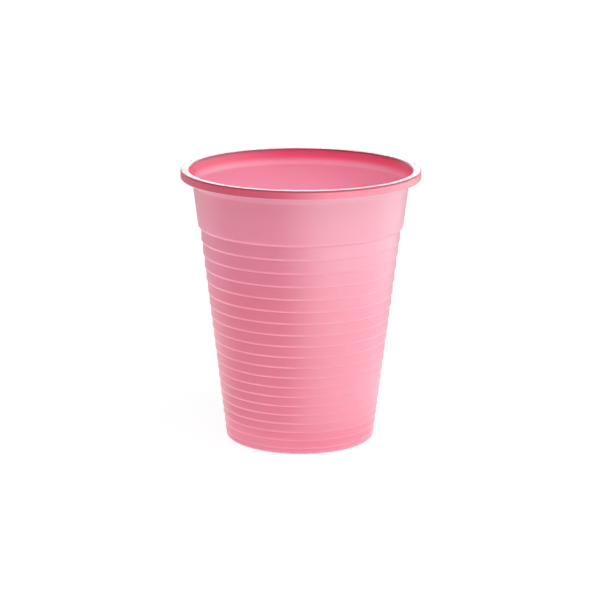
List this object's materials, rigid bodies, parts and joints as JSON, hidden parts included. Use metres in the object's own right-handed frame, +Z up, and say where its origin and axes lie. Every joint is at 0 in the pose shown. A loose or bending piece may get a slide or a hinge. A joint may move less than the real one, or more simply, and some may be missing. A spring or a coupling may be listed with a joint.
{
  "type": "disposable cup",
  "caption": "Thin-walled drinking cup in pink plastic: stepped tapering wall, plain upper band, flared neck, outward-rolled rim and recessed base with a foot ring.",
  "frame": {"origin": "on the cup's axis, in the plane of its foot", "axes": "+Z up along the cup's axis, from the foot to the open rim; the cup is round, so +X and +Y are any two square directions"},
  "size_m": [0.0702, 0.0702, 0.0807],
  "materials": {
    "sheet": "slightly translucent pink polystyrene sheet with a soft gloss"
  },
  "bodies": {
    "root": {"cup": "sheet"}
  },
  "joints": []
}
